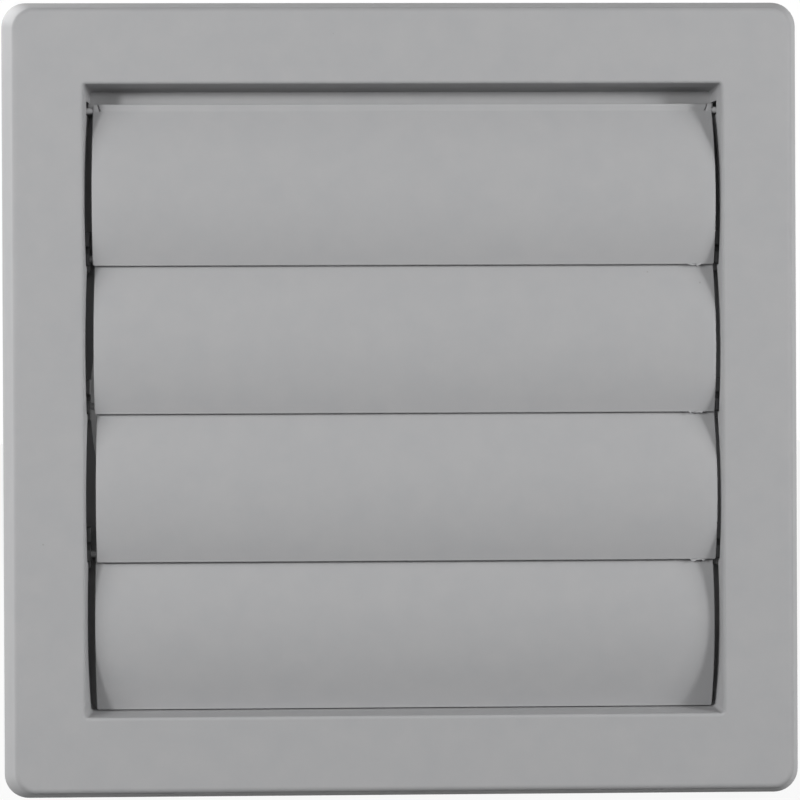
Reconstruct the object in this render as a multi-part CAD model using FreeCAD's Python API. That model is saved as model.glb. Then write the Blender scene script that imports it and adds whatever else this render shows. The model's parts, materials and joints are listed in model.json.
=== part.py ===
import FreeCAD, Part
import math
import os

# Gravity louvre vent for a round duct, in millimetres.
# X runs to the right as seen from the room, Z runs up and +Y runs into the wall.
# The origin is on the duct's axis, in the plane of the wall, where the frame's rear rim lies.
# Depths are measured back from the front face of the frame.

# Duct spigot
SPIGOT_DIAMETER = 148.0
SPIGOT_WALL = 2.0
SPIGOT_LENGTH = 45.0
SPIGOT_LEAD_IN = 1.0

# Window of the front frame, set inside the spigot's outline
WINDOW_SIDE_INSET = 1.6
WINDOW_END_INSET = 2.4
WINDOW_CORNER_RADIUS = 0.8
WINDOW_EDGE_RADIUS = 0.7
REVEAL_DRAFT = 4.5

# Front frame
FRAME_DEPTH = 16.0
SIDE_BORDER = 20.1
END_BORDER = 20.65
SIDE_DRAFT = 15.0
END_DRAFT = 12.5
RIM_CORNER_RADIUS = 5.6
FACE_CORNER_RADIUS = 4.6
FACE_EDGE_RADIUS = 1.5
FRAME_WALL = 2.0
LIP_WALL = 1.5
RIB_COUNT = 4
RIB_WALL = 1.4
RIB_DEPTH = 9.0
RIB_CLEARANCE = 1.2

# Flaps
FLAP_COUNT = 4
FLAP_END_GAP = 1.9
FLAP_FLOAT = (0.15, 0.3, 0.6, 0.25)
FLAP_LAP = 1.75
FLAP_WALL = 1.5
FLAP_CORNER_RADIUS = 1.0
FLAP_LIP_RADIUS = 0.4
TOP_MARGIN = 5.5
SILL_GAP = 1.2
PIVOT_DEPTH = 6.2
CROWN_REACH = 5.6
CROWN_DROP = 21.6
LIP_REACH = 3.23
HEM_HEIGHT = 1.2
HEM_CLEARANCE = 0.35
LAST_FLAP_TUCK = 6.8
BEAD_RADIUS = 0.85
PLATE_BITE = 0.04
FRONT_ROOT_ANGLE = 73.0
BACK_ROOT_ANGLE = 54.0
BEAD_END_BEVEL = 1.6
PIN_RADIUS = 0.75
PIN_FIT = 0.05
PIN_END_PLAY = 0.4

# Window lips, whose rear edges are scalloped beside the flaps
SCALLOP_START = 5.2
SCALLOP_CREST = 2.5
SCALLOP_END = 3.8
TOP_LIP_DEPTH = 7.2
LAST_CREST_DROP = 14.3
LAST_CREST = 4.3
LAST_SCALLOP_END = 9.6
PIN_NOTCH_CLEARANCE = 0.35

# Flange behind the top flap and stop behind the bottom flap
FLANGE_CLEARANCE = 2.95
FLANGE_WALL = 1.5
FLANGE_LAP = 0.8
STOP_CLEARANCE = 0.35
STOP_WALL = 1.5
STOP_HEIGHT = 1.5

# Base plate and the flap housing on it
BASE_WALL = 3.0
BASE_CORNER_RADIUS = 3.6
BASE_CLEARANCE = 0.4
BOX_WALL = 2.0
BOX_CLEARANCE = 0.45
BOX_FRONT_DEPTH = 4.0

# Pin bearings on the cheeks
BOSS_REACH = 0.95
BOSS_FRONT_DEPTH = 4.4
BOSS_REAR_DEPTH = 9.0
JAW_HEIGHT = 6.1
SADDLE_DROP = 3.2
SLOT_LIFT = 1.95
SADDLE_RELIEF = 0.5
SADDLE_LEDGE = 1.45

# Push-fit pegs and wall screws
PEG_RADIUS = 2.0
PEG_FIT = 0.05
PEG_SPACING = 64.0
PEG_REAR_DEPTH = 12.0
PEG_OFFSET = 5.0
SOCKET_RADIUS = 3.6
SOCKET_LENGTH = 6.0
SCREW_HOLE_RADIUS = 2.25
SCREW_MARGIN = 7.6

# Overlap of fused pieces, overshoot of cutters and tolerance for edges in one plane
BITE = 0.5
OVERSHOOT = 1.0
IN_PLANE = 0.001

FRONT = -FRAME_DEPTH
SPIGOT_RADIUS = SPIGOT_DIAMETER / 2
BORE_RADIUS = SPIGOT_RADIUS - SPIGOT_WALL
WINDOW_WIDTH = SPIGOT_DIAMETER - 2 * WINDOW_SIDE_INSET
WINDOW_HEIGHT = SPIGOT_DIAMETER - 2 * WINDOW_END_INSET
RIM_WIDTH = WINDOW_WIDTH + 2 * SIDE_BORDER
RIM_HEIGHT = WINDOW_HEIGHT + 2 * END_BORDER
FLAP_LENGTH = WINDOW_WIDTH - 2 * FLAP_END_GAP
FLAP_PITCH = (WINDOW_HEIGHT - TOP_MARGIN - FLAP_LAP - SILL_GAP) / FLAP_COUNT
FLAP_DROP = FLAP_PITCH + FLAP_LAP
PIVOT_Y = FRONT + PIVOT_DEPTH
FLANGE_DEPTH = PIVOT_DEPTH + BEAD_RADIUS + FLANGE_CLEARANCE
REVEAL_SLOPE = math.tan(math.radians(REVEAL_DRAFT))
BOX_HALF_WIDTH = WINDOW_WIDTH / 2 + LIP_WALL + BOX_CLEARANCE
BOX_HALF_HEIGHT = WINDOW_HEIGHT / 2 + LIP_WALL + BOX_CLEARANCE
CHEEK_OUTER = BOX_HALF_WIDTH + BOX_WALL
BOSS_INNER = WINDOW_WIDTH / 2 - BOSS_REACH
PIN_TIP = CHEEK_OUTER - PIN_END_PLAY
PEG_X = CHEEK_OUTER + PEG_OFFSET


def pivot_z(index):
    """Height of the pins of flap number index, counted from 0 at the top."""
    return WINDOW_HEIGHT / 2 - TOP_MARGIN - index * FLAP_PITCH


def rounded_rectangle(width, height, radius, y):
    """Closed wire in a plane across Y: a rectangle centred on the axis, with round corners."""
    half_w = width / 2
    half_h = height / 2
    edges = []
    corners = ((1, 1, 0), (-1, 1, 90), (-1, -1, 180), (1, -1, 270))
    arcs = []
    for sx, sz, start in corners:
        centre = FreeCAD.Vector(sx * (half_w - radius), y, sz * (half_h - radius))
        points = []
        for angle in (start, start + 45, start + 90):
            turn = math.radians(angle)
            points.append(centre + FreeCAD.Vector(radius * math.cos(turn), 0, radius * math.sin(turn)))
        arcs.append(points)
    for number, points in enumerate(arcs):
        edges.append(Part.Arc(*points).toShape())
        following = arcs[(number + 1) % len(arcs)]
        edges.append(Part.LineSegment(points[2], following[0]).toShape())
    return Part.Wire(edges)


def tapered_block(front_size, rear_size, front_y, rear_y):
    """Solid between two rounded rectangles, each given as width, height and corner radius."""
    front_wire = rounded_rectangle(*front_size, front_y)
    rear_wire = rounded_rectangle(*rear_size, rear_y)
    return Part.makeLoft([front_wire, rear_wire], True, True)


def box_between(low, high):
    """Axis-aligned box from its lowest to its highest corner."""
    size = [b - a for a, b in zip(low, high)]
    return Part.makeBox(*size, FreeCAD.Vector(*low))


def side_profile(outline, x_from, x_to):
    """Prism along X. The outline is a list of edges in the plane at x_from."""
    face = Part.Face(Part.Wire(outline))
    return face.extrude(FreeCAD.Vector(x_to - x_from, 0, 0))


def polyline(points):
    """Straight edges that join a list of points in turn."""
    return [Part.LineSegment(a, b).toShape() for a, b in zip(points, points[1:])]


def at_depth(x, depth, z):
    """Point given by its depth behind the frame's front face."""
    return FreeCAD.Vector(x, FRONT + depth, z)


def reveal_size(depth, offset):
    """Width, height and corner radius of the window at a depth, grown outwards by an offset."""
    shrink = 2 * depth * REVEAL_SLOPE
    grow = 2 * offset
    return (WINDOW_WIDTH - shrink + grow, WINDOW_HEIGHT - shrink + grow, WINDOW_CORNER_RADIUS + offset)


def frame_outline(depth, offset):
    """Width, height and corner radius of the frame's outer wall at a depth, set in by an offset."""
    ahead = FRAME_DEPTH - depth
    width = RIM_WIDTH - 2 * ahead * math.tan(math.radians(SIDE_DRAFT))
    height = RIM_HEIGHT - 2 * ahead * math.tan(math.radians(END_DRAFT))
    radius = RIM_CORNER_RADIUS + (FACE_CORNER_RADIUS - RIM_CORNER_RADIUS) * ahead / FRAME_DEPTH
    return (width - 2 * offset, height - 2 * offset, radius - offset)


def stop_depth():
    """Depth of the stop's face, just behind the hem of the tucked bottom flap."""
    tuck = math.radians(LAST_FLAP_TUCK)
    hem_reach = BEAD_RADIUS + HEM_CLEARANCE
    swung_reach = hem_reach * math.cos(tuck) - FLAP_DROP * math.sin(tuck)
    return PIVOT_DEPTH - swung_reach + STOP_CLEARANCE


def lip_side_view():
    """Side view of the window lips: notch for the top pins, then one scallop beside each flap."""
    x = -RIM_WIDTH / 2
    top = RIM_HEIGHT / 2
    first = pivot_z(0)
    notch = PIN_RADIUS + PIN_NOTCH_CLEARANCE
    flange_back = FLANGE_DEPTH + FLANGE_WALL
    sill_back = stop_depth() + STOP_WALL
    edges = polyline([
        at_depth(x, FRAME_WALL / 2, top),
        at_depth(x, flange_back, top),
        at_depth(x, flange_back, first + notch),
        at_depth(x, PIVOT_DEPTH - notch, first + notch),
        at_depth(x, PIVOT_DEPTH - notch, first - notch),
        at_depth(x, TOP_LIP_DEPTH, first - notch),
    ])
    for index in range(FLAP_COUNT):
        last = index == FLAP_COUNT - 1
        pivot = pivot_z(index)
        if index == 0:
            start = at_depth(x, TOP_LIP_DEPTH, pivot - notch)
        else:
            start = at_depth(x, SCALLOP_START, pivot - FLAP_LAP)
        crest_drop, crest, end = CROWN_DROP, SCALLOP_CREST, SCALLOP_END
        if last:
            crest_drop, crest, end = LAST_CREST_DROP, LAST_CREST, LAST_SCALLOP_END
        middle = at_depth(x, crest, pivot - crest_drop)
        finish = at_depth(x, end, pivot - FLAP_DROP)
        edges.append(Part.Arc(start, middle, finish).toShape())
        if not last:
            edges += polyline([finish, at_depth(x, SCALLOP_START, pivot - FLAP_DROP)])
    edges += polyline([
        finish,
        at_depth(x, sill_back, finish.z),
        at_depth(x, sill_back, -top),
        at_depth(x, FRAME_WALL / 2, -top),
        at_depth(x, FRAME_WALL / 2, top),
    ])
    return side_profile(edges, x, -x)


def window_lips():
    """Tapered wall round the window, cut to the scalloped side view, with its flange and stop."""
    rear = stop_depth() + STOP_WALL + OVERSHOOT
    front_size = reveal_size(0, LIP_WALL)
    outside = tapered_block(front_size, reveal_size(rear, LIP_WALL), FRONT, FRONT + rear)
    lips = outside.common(lip_side_view())
    taper = FLANGE_DEPTH * REVEAL_SLOPE
    flange_half = WINDOW_WIDTH / 2 - taper + BITE
    flange_top = WINDOW_HEIGHT / 2 - taper + BITE
    flange = box_between(
        (-flange_half, FRONT + FLANGE_DEPTH, pivot_z(0) - FLANGE_LAP),
        (flange_half, FRONT + FLANGE_DEPTH + FLANGE_WALL, flange_top),
    )
    face = stop_depth()
    sill = -WINDOW_HEIGHT / 2 + face * REVEAL_SLOPE
    stop_half = WINDOW_WIDTH / 2 - face * REVEAL_SLOPE + BITE
    stop = box_between(
        (-stop_half, FRONT + face, sill - BITE),
        (stop_half, FRONT + face + STOP_WALL, sill + STOP_HEIGHT),
    )
    return lips, flange, stop


def frame_ribs():
    """Gussets between the front plate and the outer wall, evenly spaced along each side."""
    ribs = []
    sides = (
        (CHEEK_OUTER + RIB_CLEARANCE, RIM_WIDTH, RIM_HEIGHT, SIDE_DRAFT, 0),
        (BOX_HALF_HEIGHT + BOX_WALL + RIB_CLEARANCE, RIM_HEIGHT, RIM_WIDTH, END_DRAFT, 90),
    )
    for inner, across, along, draft, turn in sides:
        slope = math.tan(math.radians(draft))
        wall_front = across / 2 - FRAME_DEPTH * slope - FRAME_WALL / 2
        foot = FRAME_WALL + RIB_DEPTH
        wall_rear = wall_front + foot * slope
        step = along / (RIB_COUNT + 1)
        for number in range(RIB_COUNT):
            place = -along / 2 + (number + 1) * step
            corners = [
                at_depth(inner, FRAME_WALL / 2, place - RIB_WALL / 2),
                at_depth(wall_front, FRAME_WALL / 2, place - RIB_WALL / 2),
                at_depth(wall_rear, foot, place - RIB_WALL / 2),
            ]
            face = Part.Face(Part.Wire(polyline(corners + corners[:1])))
            rib = face.extrude(FreeCAD.Vector(0, 0, RIB_WALL))
            for quarter in (turn, turn + 180):
                copy = rib.copy()
                copy.rotate(FreeCAD.Vector(0, 0, 0), FreeCAD.Vector(0, 1, 0), quarter)
                ribs.append(copy)
    return ribs


def peg_places():
    """X and Z of the four pegs that hold the frame on the base plate."""
    return [(sx * PEG_X, sz * PEG_SPACING / 2) for sx in (-1, 1) for sz in (-1, 1)]


def edges_at_front(shape, half_width, half_height):
    """Edges in the front face that lie within the given half sizes."""
    found = []
    for edge in shape.Edges:
        box = edge.BoundBox
        in_face = abs(box.YMin - FRONT) < IN_PLANE and abs(box.YMax - FRONT) < IN_PLANE
        if in_face and box.XMax < half_width and box.XMin > -half_width:
            if box.ZMax < half_height and box.ZMin > -half_height:
                found.append(edge)
    return found


def front_frame():
    """Hollow square moulding with drafted walls, round edges and a lipped window."""
    outside = tapered_block(frame_outline(0, 0), frame_outline(FRAME_DEPTH, 0), FRONT, 0)
    outside = outside.makeFillet(FACE_EDGE_RADIUS, edges_at_front(outside, RIM_WIDTH, RIM_HEIGHT))
    cavity_front = frame_outline(FRAME_WALL, FRAME_WALL)
    cavity_rear = frame_outline(FRAME_DEPTH + OVERSHOOT, FRAME_WALL)
    cavity = tapered_block(cavity_front, cavity_rear, FRONT + FRAME_WALL, OVERSHOOT)
    shell = outside.cut(cavity)
    lips, flange, stop = window_lips()
    pieces = [lips] + frame_ribs()
    for x, z in peg_places():
        length = PEG_REAR_DEPTH - FRAME_WALL / 2
        start = at_depth(x, FRAME_WALL / 2, z)
        pieces.append(Part.makeCylinder(PEG_RADIUS, length, start, FreeCAD.Vector(0, 1, 0)))
    frame = shell.fuse(pieces)
    near_size = reveal_size(-OVERSHOOT, 0)
    far_size = reveal_size(FRAME_DEPTH + OVERSHOOT, 0)
    frame = frame.cut(tapered_block(near_size, far_size, FRONT - OVERSHOOT, OVERSHOOT))
    half_width = WINDOW_WIDTH / 2 + OVERSHOOT
    half_height = WINDOW_HEIGHT / 2 + OVERSHOOT
    window_edges = edges_at_front(frame, half_width, half_height)
    frame = frame.makeFillet(WINDOW_EDGE_RADIUS, window_edges)
    return frame.fuse([flange, stop]).removeSplitter()


def bearing_slot(x_from, x_to, z):
    """Cutter for one bearing: a slot from the front that drops into a round seat for the pin."""
    radius = PIN_RADIUS + PIN_FIT
    along = FreeCAD.Vector(1, 0, 0)
    length = x_to - x_from
    seat = Part.makeCylinder(radius, length, FreeCAD.Vector(x_from, PIVOT_Y, z), along)
    turn = Part.makeCylinder(radius, length, FreeCAD.Vector(x_from, PIVOT_Y, z + SLOT_LIFT), along)
    drop = box_between((x_from, PIVOT_Y - radius, z), (x_to, PIVOT_Y + radius, z + SLOT_LIFT))
    entry_low = z + SLOT_LIFT - radius
    entry_high = z + SLOT_LIFT + radius
    entry = box_between((x_from, FRONT, entry_low), (x_to, PIVOT_Y, entry_high))
    return seat.fuse([turn, drop, entry])


def bearing_boss(side, z):
    """Boss on a cheek's inner face that carries a bearing up to the flap's end."""
    x_from = BOSS_INNER
    ledge = PIVOT_DEPTH - SADDLE_RELIEF
    corners = [
        at_depth(x_from, BOSS_FRONT_DEPTH, z + JAW_HEIGHT),
        at_depth(x_from, BOSS_REAR_DEPTH, z + JAW_HEIGHT),
        at_depth(x_from, BOSS_REAR_DEPTH, z - SADDLE_DROP),
        at_depth(x_from, ledge, z - SADDLE_DROP),
        at_depth(x_from, ledge, z - SADDLE_LEDGE),
        at_depth(x_from, BOSS_FRONT_DEPTH, z - SADDLE_LEDGE),
    ]
    boss = side_profile(polyline(corners + corners[:1]), x_from, BOX_HALF_WIDTH + BITE)
    if side < 0:
        boss = boss.mirror(FreeCAD.Vector(0, 0, 0), FreeCAD.Vector(1, 0, 0))
    return boss


def screw_places():
    """X and Z of the four wall screws, near the base plate's corners."""
    half_w = RIM_WIDTH / 2 - FRAME_WALL - BASE_CLEARANCE - SCREW_MARGIN
    half_h = RIM_HEIGHT / 2 - FRAME_WALL - BASE_CLEARANCE - SCREW_MARGIN
    return [(sx * half_w, sz * half_h) for sx in (-1, 1) for sz in (-1, 1)]


def base_plate():
    """Plate on the wall, with the duct spigot behind it and the sockets for the pegs before it."""
    into_wall = FreeCAD.Vector(0, 1, 0)
    offset = FRAME_WALL / math.cos(math.radians(SIDE_DRAFT)) + BASE_CLEARANCE
    width, height, _ = frame_outline(FRAME_DEPTH - BASE_WALL, offset)
    plate_size = (width, height, BASE_CORNER_RADIUS)
    plate = tapered_block(plate_size, plate_size, -BASE_WALL, 0)
    spigot = Part.makeCylinder(SPIGOT_RADIUS, SPIGOT_LENGTH + BASE_WALL / 2,
                               FreeCAD.Vector(0, -BASE_WALL / 2, 0), into_wall)
    spigot = spigot.makeChamfer(SPIGOT_LEAD_IN, [e for e in spigot.Edges if e.BoundBox.YMin > OVERSHOOT])
    pieces = [spigot]
    for x, z in peg_places():
        start = FreeCAD.Vector(x, -BASE_WALL - SOCKET_LENGTH, z)
        pieces.append(Part.makeCylinder(SOCKET_RADIUS, SOCKET_LENGTH + BASE_WALL / 2, start, into_wall))
    body = plate.fuse(pieces)
    reach = SPIGOT_LENGTH + BASE_WALL + 2 * OVERSHOOT
    bore_start = FreeCAD.Vector(0, -BASE_WALL - OVERSHOOT, 0)
    cutters = [Part.makeCylinder(BORE_RADIUS, reach, bore_start, into_wall)]
    for x, z in peg_places():
        start = FreeCAD.Vector(x, -BASE_WALL - SOCKET_LENGTH - OVERSHOOT, z)
        depth = SOCKET_LENGTH + OVERSHOOT
        cutters.append(Part.makeCylinder(PEG_RADIUS + PEG_FIT, depth, start, into_wall))
    for x, z in screw_places():
        start = FreeCAD.Vector(x, -BASE_WALL - OVERSHOOT, z)
        depth = BASE_WALL + 2 * OVERSHOOT
        cutters.append(Part.makeCylinder(SCREW_HOLE_RADIUS, depth, start, into_wall))
    return body.cut(cutters).removeSplitter()


def flap_housing():
    """Four walls that stand on the base plate round the flaps, with the bearing slots in the cheeks."""
    box_front = FRONT + BOX_FRONT_DEPTH
    outer = box_between((-CHEEK_OUTER, box_front, -BOX_HALF_HEIGHT - BOX_WALL),
                        (CHEEK_OUTER, -BASE_WALL, BOX_HALF_HEIGHT + BOX_WALL))
    inner = box_between((-BOX_HALF_WIDTH, box_front - OVERSHOOT, -BOX_HALF_HEIGHT),
                        (BOX_HALF_WIDTH, OVERSHOOT, BOX_HALF_HEIGHT))
    walls = outer.cut(inner)
    bosses = []
    for index in range(1, FLAP_COUNT):
        for side in (-1, 1):
            bosses.append(bearing_boss(side, pivot_z(index)))
    cutters = []
    slot_length = CHEEK_OUTER - BOSS_INNER + 2 * OVERSHOOT
    for index in range(FLAP_COUNT):
        for x_from in (-CHEEK_OUTER - OVERSHOOT, BOSS_INNER - OVERSHOOT):
            cutters.append(bearing_slot(x_from, x_from + slot_length, pivot_z(index)))
    return walls.fuse(bosses).cut(cutters).removeSplitter()


def flap_section(pivot, x):
    """Flap section: convex front arc, flatter back arc and a hem turned back at the lower edge."""
    def point(reach, drop):
        return FreeCAD.Vector(x, PIVOT_Y - reach, pivot - drop)

    def root(angle):
        turn = math.radians(angle)
        radius = BEAD_RADIUS - PLATE_BITE
        return radius * math.cos(turn), radius * math.sin(turn)

    hem_back = BEAD_RADIUS + HEM_CLEARANCE
    hem_top = FLAP_DROP - HEM_HEIGHT
    front_root = point(*root(FRONT_ROOT_ANGLE))
    front_crown = point(CROWN_REACH, CROWN_DROP)
    front_end = point(LIP_REACH, FLAP_DROP - FLAP_LIP_RADIUS)
    lip_under = point(LIP_REACH - FLAP_LIP_RADIUS, FLAP_DROP)
    slant = FLAP_LIP_RADIUS * (1 - math.sqrt(0.5))
    lip_turn = point(LIP_REACH - slant, FLAP_DROP - slant)
    back_end = point(LIP_REACH - FLAP_WALL + BITE, hem_top)
    back_crown = point(CROWN_REACH - FLAP_WALL, CROWN_DROP)
    back_root = point(*root(180 - BACK_ROOT_ANGLE))
    edges = [
        Part.Arc(front_root, front_crown, front_end).toShape(),
        Part.Arc(front_end, lip_turn, lip_under).toShape(),
    ]
    edges += polyline([lip_under, point(hem_back, FLAP_DROP), point(hem_back, hem_top), back_end])
    edges.append(Part.Arc(back_end, back_crown, back_root).toShape())
    edges += polyline([back_root, front_root])
    return edges


def flap(index):
    """One flap with its bead and pins, at rest."""
    pivot = pivot_z(index)
    centre = FLAP_FLOAT[index % len(FLAP_FLOAT)]
    half = FLAP_LENGTH / 2
    along = FreeCAD.Vector(1, 0, 0)
    plate = side_profile(flap_section(pivot, centre - half), centre - half, centre + half)
    outline = rounded_rectangle(FLAP_LENGTH, 2 * FLAP_DROP, FLAP_CORNER_RADIUS, PIVOT_Y - FRAME_DEPTH)
    trim = Part.Face(outline).extrude(FreeCAD.Vector(0, 2 * FRAME_DEPTH, 0))
    trim.translate(FreeCAD.Vector(centre, 0, pivot))
    plate = plate.common(trim)
    bead_half = half - BEAD_END_BEVEL
    bead_start = FreeCAD.Vector(centre - bead_half, PIVOT_Y, pivot)
    bead = Part.makeCylinder(BEAD_RADIUS, 2 * bead_half, bead_start, along)
    pin_length = PIN_TIP - bead_half
    pins = []
    for x_from in (centre - PIN_TIP, centre + bead_half):
        start = FreeCAD.Vector(x_from, PIVOT_Y, pivot)
        pins.append(Part.makeCylinder(PIN_RADIUS, pin_length, start, along))
    shape = plate.fuse([bead] + pins).removeSplitter()
    if index == FLAP_COUNT - 1:
        shape.rotate(FreeCAD.Vector(0, PIVOT_Y, pivot), along, LAST_FLAP_TUCK)
    return shape


def main():
    os.makedirs("parts", exist_ok=True)
    nodes = {"front_frame": front_frame(), "base_plate": base_plate(), "flap_housing": flap_housing()}
    for index in range(FLAP_COUNT):
        nodes[f"flap_{index + 1}"] = flap(index)
    for name, shape in nodes.items():
        if shape.ShapeType == "Compound" and len(shape.Solids) == 1:
            shape = shape.Solids[0]
        shape.exportStep(f"parts/{name}.step")
        print(f"{name}: {len(shape.Solids)} solid, {shape.Volume:.0f} mm3, valid {shape.isValid()}")


main()
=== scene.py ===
"""Looks of a gravity louvre vent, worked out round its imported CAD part.

Lengths are in metres. X runs to the right as seen from the room, Z runs up and +Y runs into the wall.
Depths are measured back from the front face of the frame. On a flap's section, reach is how far a
point stands out from the pins towards the room, and drop is how far it hangs below them.
"""

import json
import math

import bmesh
import bpy
import numpy as np
from bpy.props import FloatProperty, FloatVectorProperty, PointerProperty
from mathutils import Matrix, Vector


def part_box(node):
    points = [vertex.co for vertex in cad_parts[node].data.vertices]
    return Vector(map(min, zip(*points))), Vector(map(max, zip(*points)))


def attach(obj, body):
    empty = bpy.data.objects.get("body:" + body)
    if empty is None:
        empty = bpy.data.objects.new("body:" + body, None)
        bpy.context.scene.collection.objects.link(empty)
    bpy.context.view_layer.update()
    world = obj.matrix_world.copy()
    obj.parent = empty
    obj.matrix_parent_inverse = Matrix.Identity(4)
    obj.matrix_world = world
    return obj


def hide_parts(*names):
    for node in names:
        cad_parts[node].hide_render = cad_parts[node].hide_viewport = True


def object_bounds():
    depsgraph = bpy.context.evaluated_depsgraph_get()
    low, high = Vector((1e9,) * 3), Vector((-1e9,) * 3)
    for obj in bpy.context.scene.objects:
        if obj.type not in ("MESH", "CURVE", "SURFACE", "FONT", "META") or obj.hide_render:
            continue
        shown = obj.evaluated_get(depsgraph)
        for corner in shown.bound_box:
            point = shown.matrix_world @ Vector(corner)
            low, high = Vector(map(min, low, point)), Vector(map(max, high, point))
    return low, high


bl_info = {
    "name": "Louvre Vent Looks",
    "version": (1, 0, 0),
    "blender": (4, 5, 0),
    "location": "3D View > Sidebar > Louvre Vent",
    "description": "Mouldings, plastic and studio for a gravity louvre vent",
    "category": "Object",
}

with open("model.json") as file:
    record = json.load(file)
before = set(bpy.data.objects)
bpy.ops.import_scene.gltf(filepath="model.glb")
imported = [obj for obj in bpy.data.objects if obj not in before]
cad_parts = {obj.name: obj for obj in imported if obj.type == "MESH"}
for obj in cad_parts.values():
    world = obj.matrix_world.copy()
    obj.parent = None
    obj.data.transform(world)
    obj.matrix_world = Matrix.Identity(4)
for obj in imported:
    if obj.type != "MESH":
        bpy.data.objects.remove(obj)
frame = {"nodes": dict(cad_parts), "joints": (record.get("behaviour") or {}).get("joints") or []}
CAD_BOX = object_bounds()

MM = 0.001
FRAME_LOW, FRAME_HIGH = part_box("front_frame")
FRAME_DEPTH = FRAME_HIGH.y - FRAME_LOW.y
FRONT = FRAME_LOW.y
HINGES = [Vector(joint["pos_m"]) for joint in frame["joints"]]
PITCH = HINGES[0].z - HINGES[1].z
FLAP_BODIES = [joint["child"] for joint in frame["joints"]]
GUSSETS_PER_SIDE = 4
EASE_TURN = np.linspace(0, math.pi / 2, 4)

# Each lamp: name, setting for its power, place, depth on the duct's axis that it faces, width and height.
LAMPS = (
    ("lamp_left", "left", (-0.657, -0.729, 0.191), 0.0, (0.13, 0.14)),
    ("lamp_right", "right", (0.784, -0.591, 0.191), 0.0, (0.13, 0.14)),
    ("lamp_front", "front", (0.0, -0.606, 0.129), 0.0, (0.3, 0.1)),
    ("fill_left", "fill_left", (-0.682, -0.394, 0.139), 0.0, (0.3, 0.4)),
    ("fill_right", "fill_right", (0.682, -0.394, 0.139), 0.0, (0.3, 0.4)),
    ("rim_left", "rim_left", (-0.773, 0.207, 0.0), 0.0, (0.4, 0.5)),
    ("rim_right", "rim_right", (0.773, 0.207, 0.0), 0.0, (0.4, 0.5)),
    ("rim_top", "rim_top", (0.0, 0.07, 0.797), 0.0, (0.5, 0.4)),
    ("rear", "rear", (-0.45, 0.55, 0.45), 0.04, (0.5, 0.4)),
)


# Property kinds


def length(label, millimetres, note):
    """Length property, given in millimetres and kept in metres."""
    return FloatProperty(name=label, description=note, default=millimetres * MM, unit="LENGTH", precision=5)


def angle(label, degrees, note):
    """Angle property, given in degrees and kept in radians."""
    return FloatProperty(name=label, description=note, default=math.radians(degrees), subtype="ANGLE")


def share(label, default, note):
    """Property between 0 and 1."""
    return FloatProperty(name=label, description=note, default=default, min=0.0, max=1.0, subtype="FACTOR")


def tone(label, default, note):
    """Linear colour property."""
    return FloatVectorProperty(
        name=label, description=note, default=default, size=4, subtype="COLOR", min=0.0, max=1.0
    )


def watts(label, default, note):
    """Lamp power property."""
    return FloatProperty(name=label, description=note, default=default, min=0.0, unit="POWER")


def number(label, default, note):
    """Plain number property."""
    return FloatProperty(name=label, description=note, default=default)


class LouvreFrameSizes(bpy.types.PropertyGroup):
    """Sizes of the front frame."""

    window_width: length("Window width", 144.8, "Width of the window at the front face")
    window_height: length("Window height", 143.2, "Height of the window at the front face")
    window_corner: length("Window corner", 0.8, "Radius of the window's corners")
    window_edge: length("Window edge", 0.7, "Rounding where the front face turns into the window")
    reveal_draft: angle("Reveal draft", 4.5, "Slant of the window's walls")
    side_draft: angle("Side draft", 15.0, "Slant of the outer wall on the left and right")
    end_draft: angle("End draft", 12.5, "Slant of the outer wall at the top and bottom")
    rim_corner: length("Rim corner", 5.6, "Radius of the outer corners at the wall")
    face_corner: length("Face corner", 4.6, "Radius of the outer corners at the front face")
    face_edge: length("Face edge", 1.5, "Rounding between the front face and the outer wall")
    wall: length("Wall", 2.0, "Thickness of the front plate and outer wall")
    lip_wall: length("Lip wall", 1.5, "Thickness of the lips behind the window")
    ease: length("Edge ease", 0.15, "Small rounding on the other edges")
    scallop_start: length("Scallop start", 5.2, "Depth of a lip's rear edge beside the top of a flap")
    scallop_crest: length("Scallop crest", 2.5, "Least depth of a lip's rear edge beside a flap")
    scallop_end: length("Scallop end", 3.8, "Depth of a lip's rear edge beside the hem of a flap")
    top_lip: length("Top lip", 8.8, "Depth of the lip's rear edge just below the top pins")
    last_crest: length("Last crest", 4.3, "Least depth of the lip's rear edge beside the bottom flap")
    last_crest_drop: length("Last crest drop", 14.3, "How far below the bottom pins that least depth lies")
    last_end: length("Last end", 9.6, "Depth of the lip's rear edge beside the bottom flap's hem")
    notch: length("Pin notch", 1.1, "How far the notch for the top pins lies in front of them and below them")
    notch_rise: length("Pin notch rise", 2.1, "How far that notch rises above the pins")
    flange_depth: length("Flange depth", 10.0, "Depth of the flange's face above the top flap")
    flange_lap: length("Flange lap", 0.8, "How far the flange reaches below the top pins")
    stop_depth: length("Stop depth", 9.507, "Depth of the stop's face behind the bottom flap")
    stop_height: length("Stop height", 1.5, "Height of the stop above the sill")
    stop_inset: length("Stop inset", 3.5, "How far short of the window's sides the stop ends")
    rib_wall: length("Rib wall", 1.4, "Thickness of the gussets behind the front plate")
    rib_depth: length("Rib depth", 9.0, "How far the gussets run back along the outer wall")
    rib_gap: length("Rib gap", 1.2, "Gap between the gussets and the flap housing")
    peg_radius: length("Peg radius", 2.0, "Radius of the push-fit pegs")
    peg_side: length("Peg side", 81.35, "Distance of the pegs from the middle, across")
    peg_rise: length("Peg rise", 32.0, "Distance of the pegs from the middle, up and down")
    peg_depth: length("Peg depth", 12.0, "Depth of the pegs' rear ends")
    peg_ease: length("Peg ease", 0.3, "Rounding of the pegs' rear ends")


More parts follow.
